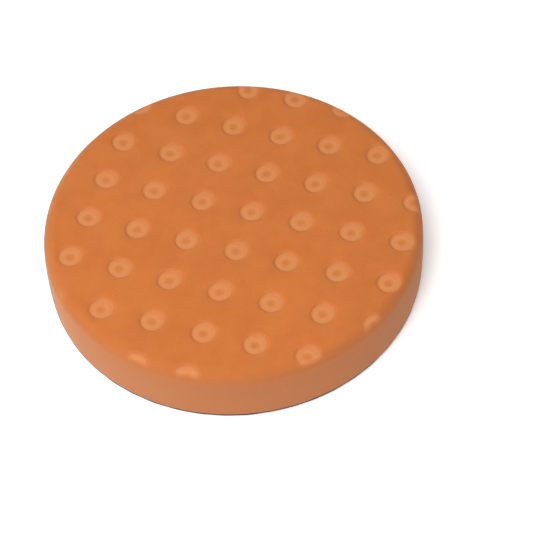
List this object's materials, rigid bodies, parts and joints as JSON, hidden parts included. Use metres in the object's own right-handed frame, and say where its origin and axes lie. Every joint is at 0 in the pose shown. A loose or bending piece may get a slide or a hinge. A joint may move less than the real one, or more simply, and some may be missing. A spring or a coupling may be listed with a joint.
{
  "type": "polishing pad",
  "caption": "Round foam pad with a grid of shallow pressed pockets in its working face and a loop-cloth back that grips a hook-faced backing plate.",
  "frame": {"origin": "centre of the loop back, on the surface that the pad rests on", "axes": "+Z out of the working face; +X and +Y along the rows of the pocket grid"},
  "size_m": [0.165, 0.165, 0.0279],
  "materials": {
    "foam": "soft orange open-cell polyurethane foam, fine even pores, matt; the cut side is paler than the face",
    "adhesive": "thin translucent hot-melt film",
    "cloth": "black warp-knit nylon ground",
    "loops": "brushed black nylon loops with a slight sheen"
  },
  "bodies": {
    "root": {"foam_disc": "foam", "adhesive_film": "adhesive", "backing_cloth": "cloth", "loop_pile": "loops"}
  },
  "joints": []
}
